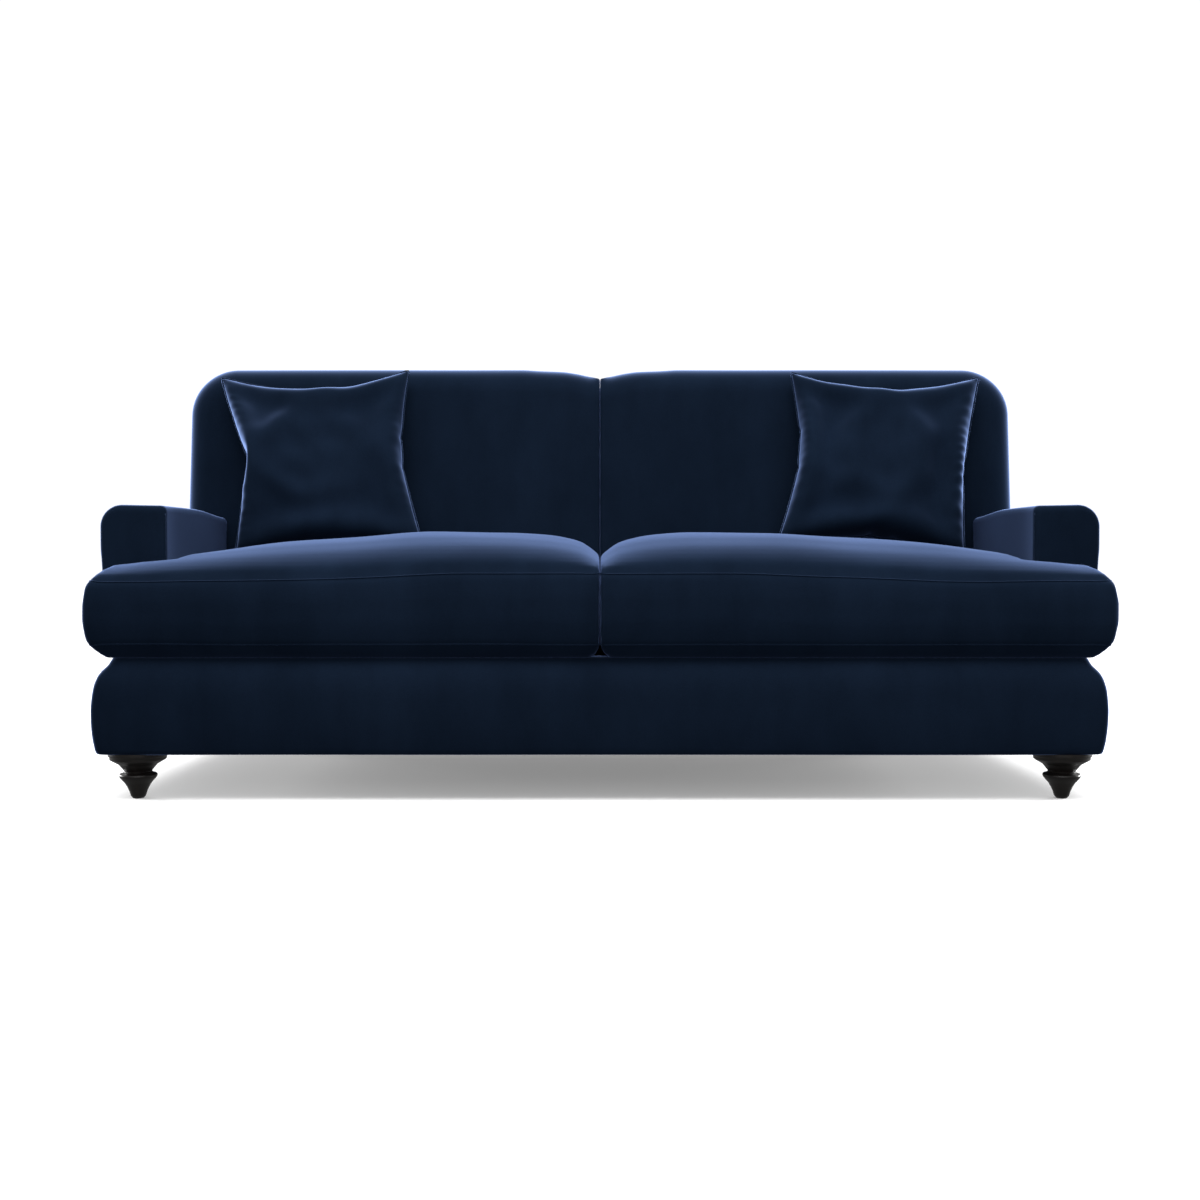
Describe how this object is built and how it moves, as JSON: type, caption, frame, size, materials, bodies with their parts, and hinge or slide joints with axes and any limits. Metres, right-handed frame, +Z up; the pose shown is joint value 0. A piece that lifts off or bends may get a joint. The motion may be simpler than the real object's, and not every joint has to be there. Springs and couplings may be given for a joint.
{
  "type": "sofa",
  "caption": "Low velvet sofa with boxed seat cushions winged in front of set-back arms, a fixed back, scatter cushions and turned wooden feet.",
  "frame": {"origin": "on the floor, under the middle of the overall box", "axes": "+X to the right as seen from the front, -Y towards the front, +Z up"},
  "size_m": [2.012, 0.96, 0.925],
  "materials": {
    "velvet": "matte",
    "stained_wood": "satin",
    "timber": "matte",
    "spring_steel": "satin",
    "foam": "matte",
    "fibre": "matte",
    "webbing": "matte",
    "lining": "matte"
  },
  "bodies": {
    "sofa_frame": {"front_rail": "timber", "rear_rail": "timber", "centre_rail": "timber", "spring_rail": "timber", "back_post_centre": "timber", "back_top_rail": "timber", "side_rail_left": "timber", "side_rail_right": "timber", "corner_block_front_left": "timber", "corner_block_front_right": "timber", "corner_block_rear_left": "timber", "corner_block_rear_right": "timber", "arm_post_front_left": "timber", "arm_post_front_right": "timber", "arm_post_rear_left": "timber", "arm_post_rear_right": "timber", "arm_rail_left": "timber", "arm_rail_right": "timber", "back_post_left": "timber", "back_post_right": "timber", "back_webbing": "webbing", "seat_springs_left": "spring_steel", "seat_springs_right": "spring_steel", "leg_bolt_front_left": "spring_steel", "leg_bolt_front_right": "spring_steel", "leg_bolt_rear_left": "spring_steel", "leg_bolt_rear_right": "spring_steel", "seat_deck": "fibre", "base_front_pad": "foam", "base_side_pad_left": "foam", "base_side_pad_right": "foam", "arm_pad_left": "foam", "arm_pad_right": "foam", "back_pad_left": "foam", "back_pad_right": "foam", "base_front_cover": "velvet", "back_outside_cover": "velvet", "base_side_cover_left": "velvet", "base_side_cover_right": "velvet", "arm_cover_left": "velvet", "arm_cover_right": "velvet", "arm_front_panel_left": "velvet", "arm_front_panel_right": "velvet", "back_cover_left": "velvet", "back_cover_right": "velvet", "dust_cover": "lining", "leg_front_left": "stained_wood", "leg_front_right": "stained_wood", "leg_rear_left": "stained_wood", "leg_rear_right": "stained_wood"},
    "seat_cushion_left": {"seat_cover_left": "velvet", "seat_core_left": "foam"},
    "scatter_cushion_left": {"scatter_cover_left": "velvet", "scatter_filling_left": "fibre"},
    "zip_slider_left": {"zip_slider_left": "spring_steel"},
    "seat_cushion_right": {"seat_cover_right": "velvet", "seat_core_right": "foam"},
    "scatter_cushion_right": {"scatter_cover_right": "velvet", "scatter_filling_right": "fibre"},
    "zip_slider_right": {"zip_slider_right": "spring_steel"}
  },
  "joints": [
    {"name": "seat_cushion_left_lift", "type": "slide", "parent": "sofa_frame", "child": "seat_cushion_left", "axis": [0, 0, 1], "range_m": [0, 0.25]},
    {"name": "scatter_cushion_left_lift", "type": "slide", "parent": "seat_cushion_left", "child": "scatter_cushion_left", "axis": [0, -0.5, 0.866], "range_m": [0, 0.25]},
    {"name": "zip_left_run", "type": "slide", "parent": "seat_cushion_left", "child": "zip_slider_left", "axis": [1, 0, 0], "range_m": [0, 0.61]},
    {"name": "seat_cushion_right_lift", "type": "slide", "parent": "sofa_frame", "child": "seat_cushion_right", "axis": [0, 0, 1], "range_m": [0, 0.25]},
    {"name": "scatter_cushion_right_lift", "type": "slide", "parent": "seat_cushion_right", "child": "scatter_cushion_right", "axis": [0, -0.5, 0.866], "range_m": [0, 0.25]},
    {"name": "zip_right_run", "type": "slide", "parent": "seat_cushion_right", "child": "zip_slider_right", "axis": [-1, 0, 0], "range_m": [0, 0.61]}
  ]
}
